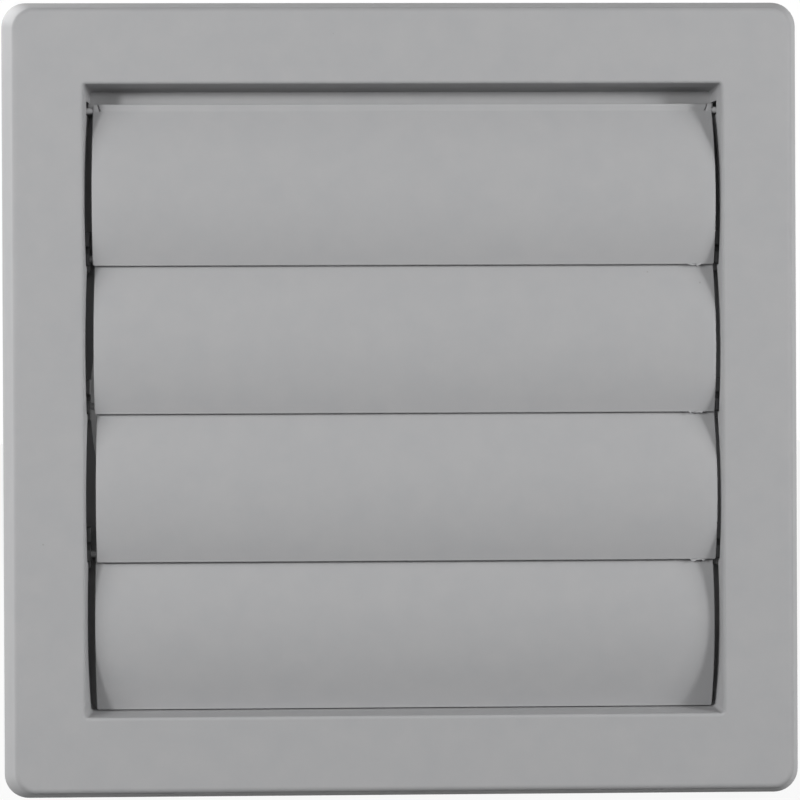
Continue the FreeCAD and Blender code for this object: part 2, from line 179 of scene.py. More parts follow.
class LouvreFlapSizes(bpy.types.PropertyGroup):
    """Sizes of the flaps."""

    width_1: length("Width 1", 141.55, "Length of the top flap along its pins")
    width_2: length("Width 2", 141.25, "Length of the second flap along its pins")
    width_3: length("Width 3", 141.05, "Length of the third flap along its pins")
    width_4: length("Width 4", 141.15, "Length of the bottom flap along its pins")
    drop: length("Drop", 35.5, "Height of a flap below its pins")
    last_drop: length("Last drop", 35.7, "Height of the bottom flap below its pins")
    wall: length("Wall", 1.5, "Thickness of a flap")
    crown_reach: length("Crown reach", 5.6, "How far the flap's crown stands out from the pins")
    crown_drop: length("Crown drop", 21.6, "How far the crown lies below the pins")
    lip_reach: length("Lip reach", 3.1, "How far the hem's front stands out from the pins")
    lip_edge: length("Lip edge", 0.28, "Rounding of the hem's lower front edge")
    hem_back: length("Hem back", 1.75, "Reach of the hem's back")
    hem_height: length("Hem height", 1.2, "Height of the hem")
    corner: length("Corner", 0.35, "Radius of the lower corners")
    end_ease: length("End ease", 0.2, "Rounding of the flap's ends")
    bead: length("Bead", 0.85, "Half thickness of the bead along the flap's top")
    bead_rise: length("Bead rise", 1.43, "How far the bead rises above the pins")
    bead_foot: length("Bead foot", 0.67, "How far the bead reaches below the pins")
    bead_squareness: number("Bead squareness", 8.0, "Power of the bead's section")
    bead_short: length("Bead shortfall", 0.05, "How far short of the flap's ends the bead stops")
    bead_ease: length("Bead ease", 0.1, "Rounding of the ends of the bead's pieces")
    core_back: length("Core setback", 0.45, "How far behind the bead's middle its core lies")
    core_share: share("Core share", 0.4, "Thickness of the core beside that of the bead")
    root_reach: length("Root reach", 0.84, "How far the flap's face stands out where it leaves the bead")
    root_drop: length("Root drop", 0.2, "How far below the pins the flap's face leaves the bead")
    slit_place: length("Slit place", 1.25, "Distance of the slit across the bead from the flap's end")
    slit: length("Slit", 0.28, "Width of the slit across the bead")
    slit_lean: number("Slit lean", 0.55, "Sideways lean of the slit over its height")
    pin: length("Pin", 0.75, "Radius of the pins")
    pin_root: length("Pin root", 0.8, "How far inside the flap's ends the pins begin")
    pin_ease: length("Pin ease", 0.15, "Rounding of the pins' ends")
    pin_tip: length("Pin tip", 75.95, "Distance of the pins' tips from the middle")
    tuck: angle("Tuck", 6.8, "How far the bottom flap hangs inwards")
    float_1: length("Float 1", 0.24, "Sideways place of the top flap")
    float_2: length("Float 2", 0.38, "Sideways place of the second flap")
    float_3: length("Float 3", 0.64, "Sideways place of the third flap")
    float_4: length("Float 4", 0.23, "Sideways place of the bottom flap")
    gate_place: length("Gate place", 66.4, "Middle of the torn gate marks under the hems")
    gate_width: length("Gate width", 3.5, "Length of the torn gate marks")
    gate_height: length("Gate height", 0.5, "How far the torn gate marks stand out")
    gate_wall: length("Gate wall", 0.12, "Half thickness of the torn gate marks")


class LouvrePlastic(bpy.types.PropertyGroup):
    """Colour and texture of the plastic."""

    light: tone("Light tone", (0.412, 0.412, 0.417, 1.0), "Main colour of the plastic")
    cool: tone("Cool tone", (0.394, 0.396, 0.404, 1.0), "Colour of its faint clouds")
    # Painted shade: this darkens the flap housing's plastic so that the gaps beside the flaps show the shade of
    # the unlit chamber behind them.
    housing_painted_shade: share("Housing shade", 0.35, "Darkness of the flap housing beside the rest")
    speck: tone("Speck tone", (0.25, 0.24, 0.23, 1.0), "Colour of its few specks")
    roughness: share("Roughness", 0.6, "Mean roughness of the surface")
    specular: share("Specular", 0.2, "Strength of the surface's reflection")
    roughness_spread: share("Roughness spread", 0.05, "How much the roughness wanders")
    grain: length("Grain", 0.35, "Size of the moulded grain")
    grain_height: length("Grain height", 0.012, "Height of the moulded grain")
    grain_strength: share("Grain strength", 0.6, "Strength of the moulded grain")
    cloud: length("Cloud", 6.0, "Size of the faint clouds of colour")
    speck_cells: number("Speck cells", 70.0, "Number of cells in a metre, each with one speck")
    speck_size: share("Speck size", 0.016, "Radius of a speck beside the size of its cell")
    speck_strength: share("Speck strength", 0.45, "How much of its own tone a speck shows")


class LouvreStudio(bpy.types.PropertyGroup):
    """Camera, lamps and floor."""

    camera_place: FloatVectorProperty(
        name="Camera place",
        description="Place of the camera",
        default=(-0.02726, -0.56134, 0.00534),
        subtype="TRANSLATION",
        unit="LENGTH",
        precision=5,
    )
    pan: angle("Pan", 1.3396, "How far the camera looks to the right")
    tilt: angle("Tilt", 0.0917, "How far the camera looks down")
    roll: angle("Roll", 0.2521, "How far the camera leans")
    lens: FloatProperty(
        name="Lens", description="Focal length on a 36 mm sensor", default=108.51, unit="CAMERA"
    )
    shift_x: number("Shift across", 0.0745, "Sideways shift of the lens")
    shift_y: number("Shift up", -0.0248, "Upward shift of the lens")
    left: watts("Left lamp", 3.7, "Power of the small soft lamp on the left")
    right: watts("Right lamp", 2.7, "Power of the small soft lamp on the right")
    front: watts("Front lamp", 0.42, "Power of the soft lamp above the camera")
    fill_left: watts("Left fill", 2.1, "Power of the large soft lamp on the left")
    fill_right: watts("Right fill", 2.5, "Power of the large soft lamp on the right")
    rim_left: watts("Left rim lamp", 1.7, "Power of the soft lamp on the left wall")
    rim_right: watts("Right rim lamp", 0.5, "Power of the soft lamp on the right wall")
    rim_top: watts("Top rim lamp", 0.1, "Power of the soft lamp on the top wall")
    rear: watts("Rear lamp", 3.0, "Power of the soft lamp behind the wall plane")
    ambient: share("Ambient", 0.0, "Strength of the even light from all round")
    floor_tone: tone("Floor tone", (0.8, 0.8, 0.8, 1.0), "Colour of the floor as it is seen")
    floor_shade: tone("Floor shade", (0.08, 0.08, 0.08, 1.0), "Colour of the light that the floor throws back")
    floor_white: share("Floor white", 0.92, "Share of plain white in the floor as it is seen")


# Mesh helpers


def grid_faces(rows, columns):
    """Quads of a grid closed both ways: each joins a point to the next along its row and its column."""
    row, column = np.meshgrid(np.arange(rows), np.arange(columns), indexing="ij")
    next_row, next_column = (row + 1) % rows, (column + 1) % columns
    corners = (
        row * columns + column,
        row * columns + next_column,
        next_row * columns + next_column,
        next_row * columns + column,
    )
    return np.stack(corners, axis=-1).reshape(-1, 4)


def tube_faces(rows, columns):
    """Quads of a tube: closed along its columns and open along its rows."""
    return grid_faces(rows, columns)[: (rows - 1) * columns]


def end_caps(rows, columns):
    """Quads that close both ends of a tube: each joins two points near its loop's start to two near its end."""
    first = np.arange(columns // 2 - 1)
    cap = np.stack([first, first + 1, columns - 2 - first, columns - 1 - first], axis=-1)
    return np.concatenate([cap, cap[:, ::-1] + (rows - 1) * columns])


def eased_ends(low, high, ease):
    """Places along a bar with rounded ends, and how far its section is drawn in at each."""
    inset = ease * (1 - np.cos(EASE_TURN))
    back = ease * (1 - np.sin(EASE_TURN))
    return np.concatenate([low + back[::-1], high - back]), np.concatenate([inset[::-1], inset])


def outward(points, faces):
    """Faces turned so that a closed shell's volume, a sum over tetrahedra, comes out positive."""
    a, b, c, d = (points[faces[:, k]] for k in range(4))
    volume = np.sum(a * (np.cross(b, c) + np.cross(c, d)))
    return faces if volume > 0 else faces[:, ::-1]


def merge_doubled_points(mesh):
    """Merges points that lie in one place, so that no face has an edge of no length."""
    work = bmesh.new()
    work.from_mesh(mesh)
    bmesh.ops.remove_doubles(work, verts=work.verts, dist=1e-7)
    work.to_mesh(mesh)
    work.free()


def moulding(name, shells, sharp=math.radians(35)):
    """One smooth-shaded mesh object from closed shells, each an array of points and an array of quads."""
    points = np.concatenate([shell[0] for shell in shells])
    starts = np.cumsum([0] + [len(shell[0]) for shell in shells[:-1]])
    faces = np.concatenate([outward(*shell) + start for shell, start in zip(shells, starts)])
    mesh = bpy.data.meshes.new(name)
    mesh.from_pydata(points.tolist(), [], faces.tolist())
    merge_doubled_points(mesh)
    mesh.polygons.foreach_set("use_smooth", np.ones(len(mesh.polygons), bool))
    mesh.set_sharp_from_angle(angle=sharp)
    mesh.update()
    piece = bpy.data.objects.new(name, mesh)
    bpy.context.scene.collection.objects.link(piece)
    return piece


def dress(piece, material):
    """Gives a piece its material."""
    piece.data.materials.clear()
    piece.data.materials.append(material)


def arc_through(first, middle, last, count):
    """Points on the circle through three points: its centre is where the bisectors of two chords meet."""
    a, b, c = (np.array(p, float) for p in (first, middle, last))
    chords = 2 * np.array([b - a, c - a])
    centre = np.linalg.solve(chords, np.array([b @ b - a @ a, c @ c - a @ a]))
    radius = np.hypot(*(a - centre))
    turns = np.unwrap([math.atan2(*(p - centre)[::-1]) for p in (a, b, c)])
    turn = np.linspace(turns[0], turns[2], count)
    return centre + radius * np.stack([np.cos(turn), np.sin(turn)], axis=-1)


def rounded_path(side_heights, end_widths, corner_steps):
    """Stations once round a rounded rectangle, as seen from the front.

    With half width A, half height B and corner radius R, a station lies at x = hx*A + rx*R + ex and
    z = hz*B + rz*R + ez. On a corner at angle t, rx = cos t - 1 and rz = sin t - 1, with the corner's
    signs. The last row is 1 on the sides, 0 on the ends and the squared cosine of t between them.
    """
    turn = np.linspace(0, math.pi / 2, corner_steps)
    inset = np.stack([np.cos(turn) - 1, np.sin(turn) - 1])

    def corner(sx, sz, order):
        ones = np.ones(corner_steps)
        none = np.zeros(corner_steps)
        rows = [sx * ones, sx * inset[0], none, sz * ones, sz * inset[1], none, np.cos(turn) ** 2]
        return np.stack(rows)[:, ::order]

    def straight(sx, sz, across, along):
        ones = np.ones(len(across))
        none = np.zeros(len(across))
        return np.stack([sx * ones, none, across, sz * ones, none, along, abs(sx) * ones])

    flat_side, flat_end = np.zeros(len(side_heights)), np.zeros(len(end_widths))
    parts = [
        straight(1, 0, flat_side, side_heights),
        corner(1, 1, 1),
        straight(0, 1, end_widths[::-1], flat_end),
        corner(-1, 1, -1),
        straight(-1, 0, flat_side, side_heights[::-1]),
        corner(-1, -1, 1),
        straight(0, -1, end_widths, flat_end),
        corner(1, -1, -1),
    ]
    return np.concatenate(parts, axis=1)


def lip_depths(heights, sizes):
    """Depth of the lips' rear edge at each height.

    A notch for the top pins comes first, then a circular scallop beside each flap.
    """
    flaps = bpy.context.scene.louvre_flaps
    lap = flaps.drop - PITCH
    notch_top = HINGES[0].z + sizes.notch_rise
    notch_depth = HINGES[0].y - FRONT - sizes.notch
    depths = np.where(heights > notch_top, sizes.flange_depth + sizes.lip_wall, notch_depth)
    for index, hinge in enumerate(HINGES):
        top = (sizes.scallop_start, hinge.z - lap)
        crest = (sizes.scallop_crest, hinge.z - flaps.crown_drop)
        end = (sizes.scallop_end, hinge.z - flaps.drop)
        if index == 0:
            top = (sizes.top_lip, hinge.z - sizes.notch)
        if index == len(HINGES) - 1:
            crest = (sizes.last_crest, hinge.z - sizes.last_crest_drop)
            end = (sizes.last_end, hinge.z - flaps.drop)
        arc = arc_through(top, crest, end, 60)
        depth_here = np.interp(heights, arc[::-1, 1], arc[::-1, 0])
        depths = np.where(heights < top[1], depth_here, depths)
    sill_back = sizes.stop_depth + sizes.lip_wall
    return np.where(heights < HINGES[-1].z - flaps.drop, sill_back, depths)


def side_stations(sizes):
    """Heights of the stations on the frame's sides, evenly spaced, with a close pair at each step of the lips."""
    step = 0.02 * MM
    clear = 0.3 * MM
    sill_back = sizes.stop_depth + sizes.lip_wall
    reach = sizes.window_height / 2 - sill_back * math.tan(sizes.reveal_draft) - sizes.window_corner
    lap = bpy.context.scene.louvre_flaps.drop - PITCH
    steps = [HINGES[0].z + sizes.notch_rise, HINGES[0].z - sizes.notch]
    steps += [hinge.z - lap for hinge in HINGES[1:]]
    pairs = [place + side for place in steps for side in (-step, step)]
    even = np.linspace(-reach, reach, 130)
    near = np.min(np.abs(even[:, None] - np.array(steps)[None, :]), axis=1) < clear
    return np.sort(np.concatenate([even[~near], pairs]))


def frame_shell(sizes):
    """The frame's wall as a closed ring: rows of one outline each, carried round the rounded rectangle.

    The rows run from the rear rim forwards over the drafted outer wall, round the face's edge, across
    the face, round the window's edge, back along the reveal, over the lip's rear edge, forwards along
    the lip's outside, and out and back inside the wall. A rounding of radius r against a wall with
    draft f has its centre r*(1 - sin f)/cos f in from the edge and r deep.
    """
    end_reach, end_steps, corner_steps = 69 * MM, 40, 11
    path = rounded_path(side_stations(sizes), np.linspace(-end_reach, end_reach, end_steps), corner_steps)
    side = path[6]
    count = path.shape[1]
    heights = path[3] * sizes.window_height / 2 + path[5]
    lip_rear = lip_depths(heights, sizes)
    ends = side < 0.999
    lip_rear = np.where(ends & (path[3] > 0), sizes.flange_depth + sizes.lip_wall, lip_rear)
    lip_rear = np.where(ends & (path[3] < 0), sizes.stop_depth + sizes.lip_wall, lip_rear)
    rim = (FRAME_HIGH.x, FRAME_HIGH.z)
    drafts = (sizes.side_draft, sizes.end_draft)
    corner_gain = sizes.rim_corner - sizes.face_corner
    rows = []

    def add(half_width, half_height, radius, depth):
        values = (half_width, half_height, radius, depth)
        rows.append([np.broadcast_to(np.asarray(value, float), (count,)) for value in values])

    def outer(depth, inset):
        ahead = FRAME_DEPTH - depth
        halves = [size - ahead * math.tan(draft) - inset for size, draft in zip(rim, drafts)]
        add(*halves, sizes.rim_corner - corner_gain * ahead / FRAME_DEPTH - inset, depth)

    def window(depth, offset):
        shrink = depth * math.tan(sizes.reveal_draft)
        halves = [size / 2 - shrink + offset for size in (sizes.window_width, sizes.window_height)]
        add(*halves, sizes.window_corner + np.maximum(offset, 0), depth)

    ease = sizes.ease
    hair = 0.1 * MM
    for turn in EASE_TURN:
        outer(FRAME_DEPTH - ease * (1 - math.sin(turn)), ease * (1 - math.cos(turn)) if turn else 0.0)
    rows.reverse()
    edge = sizes.face_edge
    for depth in (12 * MM, 7 * MM, edge + hair):
        outer(depth, 0.0)
    for part in np.linspace(0, 1, 9):
        turns = [draft + part * (math.pi / 2 - draft) for draft in drafts]
        starts = [(1 - math.sin(draft)) / math.cos(draft) for draft in drafts]
        insets = [edge * (math.cos(turn) - start) for turn, start in zip(turns, starts)]
        depths = [edge * (1 - math.sin(turn)) for turn in turns]
        backs = [FRAME_DEPTH * math.tan(draft) for draft in drafts]
        halves = [size - back + inset for size, back, inset in zip(rim, backs, insets)]
        add(*halves, sizes.face_corner + sum(insets) / 2, side * depths[0] + (1 - side) * depths[1])
    face_start = [row.copy() for row in rows[-1]]
    edge = sizes.window_edge
    draft = sizes.reveal_draft
    centre = edge * (1 - math.sin(draft)) / math.cos(draft)
    window_halves = (sizes.window_width / 2, sizes.window_height / 2)
    face_end = [*[half + centre for half in window_halves], sizes.window_corner + centre, 0.0]
    for part in (0.006, 0.25, 0.5, 0.75, 0.994):
        add(*[(1 - part) * start + part * end for start, end in zip(face_start, face_end)])
    for turn in np.linspace(math.pi / 2, draft, 8):
        depth = edge * (1 - math.sin(turn))
        offset = centre - edge * math.cos(turn)
        add(*[half + offset for half in window_halves], sizes.window_corner + max(offset, 0), depth)
    reveal_start = edge * (1 - math.sin(draft)) + 0.8 * hair
    for part in np.linspace(0, 1, 7):
        window(reveal_start + part * (lip_rear - 2 * ease - reveal_start), 0.0)
    for turn in EASE_TURN:
        window(lip_rear - ease * (1 - math.sin(turn)), ease * (1 - math.cos(turn)))
    for turn in EASE_TURN[::-1]:
        window(lip_rear - ease * (1 - math.sin(turn)), sizes.lip_wall - ease * (1 - math.cos(turn)))
    window(np.maximum(lip_rear - 3 * ease, sizes.wall), sizes.lip_wall)
    window(sizes.wall, sizes.lip_wall)
    outer(sizes.wall, sizes.wall)
    outer(FRAME_DEPTH - 2 * ease, sizes.wall)
    outer(FRAME_DEPTH, sizes.wall)
    half_width, half_height, radius, depth = np.array(rows).transpose(1, 0, 2)
    x = path[0] * half_width + path[1] * radius + path[2]
    z = path[3] * half_height + path[4] * radius + path[5]
    points = np.stack([x, FRONT + depth, z], axis=-1).reshape(-1, 3)
    return points, grid_faces(len(rows), count)


def bar_shell(x_low, x_high, low, high, ease):
    """Bar along X between two depths and two heights, drawn in towards both ends by a quarter turn."""
    turn = EASE_TURN
    middle = ((low[0] + high[0]) / 2, (low[1] + high[1]) / 2)
    half = ((high[0] - low[0]) / 2, (high[1] - low[1]) / 2)
    outline = []
    normal = []
    for sy, sz, order in ((1, 1, 1), (-1, 1, -1), (-1, -1, 1), (1, -1, -1)):
        away = np.stack([sy * np.cos(turn), sz * np.sin(turn)], axis=-1)[::order]
        outline.append(np.array([sy * (half[0] - ease), sz * (half[1] - ease)]) + ease * away)
        normal.append(away)
    outline, normal = np.concatenate(outline), np.concatenate(normal)
    x, inset = eased_ends(x_low, x_high, ease)
    ring = outline[None] - inset[:, None, None] * normal[None] + np.array(middle)
    across = np.broadcast_to(x[:, None, None], ring.shape[:2] + (1,))
    points = np.concatenate([across, ring], axis=-1).reshape(-1, 3)
    points[:, 1] += FRONT
    columns = len(outline)
    return points, np.concatenate([tube_faces(len(x), columns)[:, ::-1], end_caps(len(x), columns)])


def lathe_shell(places, radii, steps, lean=0.0):
    """Surface turned about X, with each point moved along X by its ring's lean times its height."""
    turn = np.linspace(0, 2 * math.pi, steps, endpoint=False)
    y = radii[:, None] * np.cos(turn)
    z = radii[:, None] * np.sin(turn)
    x = places[:, None] + np.asarray(lean)[..., None] * z
    points = np.stack([x, y, z], axis=-1).reshape(-1, 3)
    faces = np.concatenate([tube_faces(len(places), steps)[:, ::-1], end_caps(len(places), steps)])
    return points, faces


def wedge_shell(corners, thickness):
    """Gusset: a triangle in X and depth, spread along Z by half its thickness each way."""
    flat = np.array([[x, FRONT + depth] for x, depth in (*corners, corners[-1])])
    low = np.insert(flat, 2, -thickness / 2, axis=1)
    high = np.insert(flat, 2, thickness / 2, axis=1)
    points = np.concatenate([low, high])
    around = np.arange(4)
    sides = np.stack([around, (around + 1) % 4, (around + 1) % 4 + 4, around + 4], axis=-1)[:3]
    closing = np.array([[3, 0, 4, 7]])
    return points, np.concatenate([sides, closing, [[3, 2, 1, 0], [4, 5, 6, 7]]])


def turned(shell, angle_y):
    """Shell turned about the duct's axis."""
    points, faces = shell
    cos, sin = math.cos(angle_y), math.sin(angle_y)
    x, z = points[:, 0], points[:, 2]
    return np.stack([cos * x + sin * z, points[:, 1], cos * z - sin * x], axis=-1), faces


def flap_chains(sizes, drop):
    """Outer and inner line of a flap's section, point for point across its wall, as reach and drop.

    Outer: a circle from the bead over the crown to the hem's front, its rounding, then the hem's
    underside. Inner: a flatter circle, a small hollow corner, then the top of the hem.
    """
    ease = sizes.end_ease
    count = 48
    back_turn, back_radius = math.radians(126), 0.95 * sizes.bead
    back_root = (back_radius * math.cos(back_turn), back_radius * math.sin(back_turn))
    rounding = sizes.lip_edge
    front_end = (sizes.lip_reach, drop - rounding)
    root, crown = (sizes.root_reach, sizes.root_drop), (sizes.crown_reach, sizes.crown_drop)
    front = arc_through(root, crown, front_end, count)
    turn = np.linspace(0, math.pi / 2, 6)[1:]
    lip_in, lip_up = rounding * (1 - np.cos(turn)), rounding * (1 - np.sin(turn))
    lip = np.stack([sizes.lip_reach - lip_in, drop - lip_up], axis=-1)
    under = np.linspace(sizes.lip_reach - rounding - 0.2 * MM, sizes.hem_back + ease, 3)
    tip_in, tip_up = ease * (1 - np.sin(EASE_TURN[1:])), ease * (1 - np.cos(EASE_TURN[1:]))
    below = np.stack([sizes.hem_back + tip_in, drop - tip_up], axis=-1)
    outer = np.concatenate([front, lip, np.stack([under, np.full(3, drop)], axis=-1), below])
    hem_top = drop - sizes.hem_height
    hollow = 0.08 * MM
    inner_end = sizes.lip_reach - sizes.wall + 0.5 * MM
    back_crown = (sizes.crown_reach - sizes.wall, sizes.crown_drop)
    back = arc_through(back_root, back_crown, (inner_end, hem_top), 120)
    back = back[back[:, 1] < hem_top - hollow]
    spread = np.linspace(0, len(back) - 1, count)
    back = np.stack([np.interp(spread, np.arange(len(back)), side) for side in back.T], axis=-1)
    bend = (inner_end - 0.12 * hollow, hem_top - 0.3 * hollow)
    corner = arc_through(back[-1], bend, (inner_end - hollow, hem_top), 6)[1:]
    above = np.linspace(inner_end - hollow - 0.02 * MM, sizes.hem_back + ease, 3)
    tip = np.stack([sizes.hem_back + tip_in, hem_top + tip_up], axis=-1)
    inner = np.concatenate([back, corner, np.stack([above, np.full(3, hem_top)], axis=-1), tip])
    return outer, inner


def flap_plate_shell(sizes, hinge, middle, width, drop):
    """Curved plate: the section carried along the pins, with rounded ends and rounded lower corners.

    Near an end the section is drawn in by e*(1 - cos t) while the end comes back by e*(1 - sin t).
    Below the corner's start the half length shrinks by c*(1 - sqrt(1 - s*s)), with s from 0 to 1.
    """
    outer, inner = flap_chains(sizes, drop)
    loop = np.concatenate([outer, inner[::-1]])
    along = np.roll(loop, -1, axis=0) - np.roll(loop, 1, axis=0)
    normal = np.stack([along[:, 1], -along[:, 0]], axis=-1)
    normal /= np.linalg.norm(normal, axis=1, keepdims=True)
    area = np.sum(loop[:, 0] * np.roll(loop[:, 1], -1) - loop[:, 1] * np.roll(loop[:, 0], -1))
    normal *= math.copysign(1.0, area)
    part = np.clip((loop[:, 1] - drop + sizes.corner) / sizes.corner, 0, 1)
    half = width / 2 - sizes.corner * (1 - np.sqrt(1 - part**2))
    ease = sizes.end_ease
    even = np.linspace(-1, 1, 33)[1:-1]
    ends = np.ones(len(EASE_TURN))
    share_along = np.concatenate([-ends, even, ends])
    back, drawn = ease * (1 - np.sin(EASE_TURN)), ease * (1 - np.cos(EASE_TURN))
    back_off = np.concatenate([back[::-1], np.full(len(even), ease), back])
    inset = np.concatenate([drawn[::-1], np.zeros(len(even)), drawn])
    section = loop[None] - inset[:, None, None] * normal[None]
    x = middle + share_along[:, None] * (half[None] - back_off[:, None])
    points = np.stack([x, hinge.y - section[..., 0], hinge.z - section[..., 1]], axis=-1).reshape(-1, 3)
    rows, columns = len(inset), len(loop)
    return points, np.concatenate([tube_faces(rows, columns)[:, ::-1], end_caps(rows, columns)])


def bead_shells(sizes, hinge, middle, width):
    """Bead along the flap's top: three pieces with a slanted slit between them, and a core behind the slits.

    Its section has the radius r / (|cos t|**n + |sin t|**n)**(1/n), a squared circle, stretched in height.
    """
    ease, lean, power = sizes.bead_ease, sizes.slit_lean, sizes.bead_squareness
    outer_end = width / 2 - sizes.bead_short
    slit_end = width / 2 - sizes.slit_place
    inner_end = slit_end - sizes.slit
    core_end = outer_end - ease
    tall = (sizes.bead_rise + sizes.bead_foot) / (2 * sizes.bead)
    lift = (sizes.bead_rise - sizes.bead_foot) / 2
    pieces = []
    for low, high, low_lean, high_lean, back, thick in (
        (-outer_end, -slit_end, 0.0, -lean, 0.0, 1.0),
        (-inner_end, inner_end, -lean, lean, 0.0, 1.0),
        (slit_end, outer_end, lean, 0.0, 0.0, 1.0),
        (-core_end, core_end, 0.0, 0.0, sizes.core_back, sizes.core_share),
    ):
        places, inset = eased_ends(low, high, ease)
        leans = np.repeat([low_lean, high_lean], len(EASE_TURN))
        points, faces = lathe_shell(places, sizes.bead - inset, 48, leans)
        angles = np.arctan2(points[:, 2], points[:, 1])
        square = (np.abs(np.cos(angles)) ** power + np.abs(np.sin(angles)) ** power) ** (-1 / power)
        points[:, 1:] *= square[:, None] * np.array([thick, tall])
        pieces.append((points + np.array([middle, hinge.y + back, hinge.z + lift]), faces))
    return pieces


def pin_shells(sizes, hinge, width):
    """Pins that stand out from the bead's end pieces."""
    places, inset = eased_ends(width / 2 - sizes.pin_root, sizes.pin_tip, sizes.pin_ease)
    points, faces = lathe_shell(places, sizes.pin - inset, 24)
    seat = np.array([0.0, hinge.y, hinge.z])
    return [(points * np.array([side, 1.0, 1.0]) + seat, faces) for side in (-1, 1)]


def gate_shell(sizes, hinge, middle, seed):
    """Torn gate mark under the hem: a thin ribbon whose lower edge joins seeded heights."""
    random = np.random.default_rng(seed)
    count, tooth_count = 60, 7
    along = np.linspace(0, 1, count)
    teeth = np.concatenate([[0.0], random.uniform(0.1, 1.0, tooth_count), [0.0]])
    spots = np.concatenate([[0.0], np.sort(random.uniform(0.08, 0.92, tooth_count)), [1.0]])
    ragged = np.interp(along, spots, teeth)
    low = sizes.drop + sizes.gate_height * ragged
    thick = sizes.gate_wall
    place = sizes.lip_reach - 0.2 * MM + 0.1 * MM * np.sin(9 * along + random.uniform(0, 3))
    x = middle + sizes.gate_place + sizes.gate_width * (along - 0.5)
    high = np.full(count, sizes.drop - 0.25 * MM)
    tip = 0.6 * thick
    ring = [(place + thick, high), (place + tip, low), (place - tip, low), (place - thick, high)]
    points = [np.stack([x, hinge.y - reach, hinge.z - drop], axis=-1) for reach, drop in ring]
    faces = np.concatenate([tube_faces(count, 4)[:, ::-1], end_caps(count, 4)])
    return np.stack(points, axis=1).reshape(-1, 3), faces


def swung(shell, hinge, swing):
    """Shell turned about a hinge's pins, hem towards the wall for a positive swing."""
    points, faces = shell
    cos, sin = math.cos(swing), math.sin(swing)
    y, z = points[:, 1] - hinge.y, points[:, 2] - hinge.z
    swung_y, swung_z = hinge.y + cos * y - sin * z, hinge.z + sin * y + cos * z
    return np.stack([points[:, 0], swung_y, swung_z], axis=-1), faces


# Materials


def new_node(tree, kind, place, **values):
    """Shader node at a place, with its inputs or settings given by name."""
    made = tree.nodes.new(kind)
    made.location = place
    for name, value in values.items():
        if name in made.inputs:
            made.inputs[name].default_value = value
        else:
            setattr(made, name, value)
    return made


def moulded_plastic(name, look, shade=1.0, grain_share=1.0):
    """Matte moulded plastic: clouds of a cooler tone, a few specks, fine grain and wandering roughness."""
    material = bpy.data.materials.new(name)
    material.use_nodes = True
    tree = material.node_tree
    tree.nodes.clear()
    link = tree.links.new
    place = new_node(tree, "ShaderNodeTexCoord", (-1400, 0))
    surface = new_node(tree, "ShaderNodeBsdfPrincipled", (200, 0))
    surface.inputs["Specular IOR Level"].default_value = look.specular
    output = new_node(tree, "ShaderNodeOutputMaterial", (500, 0))
    link(surface.outputs["BSDF"], output.inputs["Surface"])

    cloud_scale = 1 / look.cloud
    clouds = new_node(
        tree, "ShaderNodeTexNoise", (-1100, 300), Scale=cloud_scale, Detail=3.0, Roughness=0.6
    )
    link(place.outputs["Object"], clouds.inputs["Vector"])
    spread = new_node(tree, "ShaderNodeMapRange", (-850, 300))
    spread.inputs["From Min"].default_value = 0.3
    spread.inputs["From Max"].default_value = 0.7
    link(clouds.outputs["Fac"], spread.inputs["Value"])
    blend = new_node(tree, "ShaderNodeMix", (-550, 300), data_type="RGBA")
    # The colours are multiplied by shade, which on the flap housing is painted shade for its unlit chamber.
    blend.inputs[6].default_value = (*[shade * value for value in look.light[:3]], 1.0)
    blend.inputs[7].default_value = (*[shade * value for value in look.cool[:3]], 1.0)
    link(spread.outputs["Result"], blend.inputs["Factor"])

    cells = new_node(tree, "ShaderNodeTexVoronoi", (-1100, -50), Scale=look.speck_cells)
    link(place.outputs["Object"], cells.inputs["Vector"])
    near = new_node(tree, "ShaderNodeMath", (-850, -50), operation="LESS_THAN")
    near.inputs[1].default_value = look.speck_size
    link(cells.outputs["Distance"], near.inputs[0])
    strong = new_node(tree, "ShaderNodeMath", (-700, -50), operation="MULTIPLY")
    strong.inputs[1].default_value = look.speck_strength
    link(near.outputs["Value"], strong.inputs[0])
    specked = new_node(tree, "ShaderNodeMix", (-300, 200), data_type="RGBA")
    specked.inputs[7].default_value = tuple(look.speck)
    link(strong.outputs["Value"], specked.inputs["Factor"])
    link(blend.outputs[2], specked.inputs[6])
    link(specked.outputs[2], surface.inputs["Base Color"])

    wander = new_node(tree, "ShaderNodeTexNoise", (-1100, -300), Scale=0.6 * cloud_scale, Detail=2.0)
    link(place.outputs["Object"], wander.inputs["Vector"])
    gloss = new_node(tree, "ShaderNodeMapRange", (-550, -300))
    gloss.inputs["To Min"].default_value = look.roughness - look.roughness_spread
    gloss.inputs["To Max"].default_value = look.roughness + look.roughness_spread
    link(wander.outputs["Fac"], gloss.inputs["Value"])
    link(gloss.outputs["Result"], surface.inputs["Roughness"])

    grain = new_node(
        tree, "ShaderNodeTexNoise", (-1100, -550), Scale=1 / look.grain, Detail=2.0, Roughness=0.55
    )
    link(place.outputs["Object"], grain.inputs["Vector"])
    strength = look.grain_strength * grain_share
    bump = new_node(
        tree, "ShaderNodeBump", (-300, -450), Strength=strength, Distance=look.grain_height
    )
    link(grain.outputs["Fac"], bump.inputs["Height"])
    link(bump.outputs["Normal"], surface.inputs["Normal"])
    return material


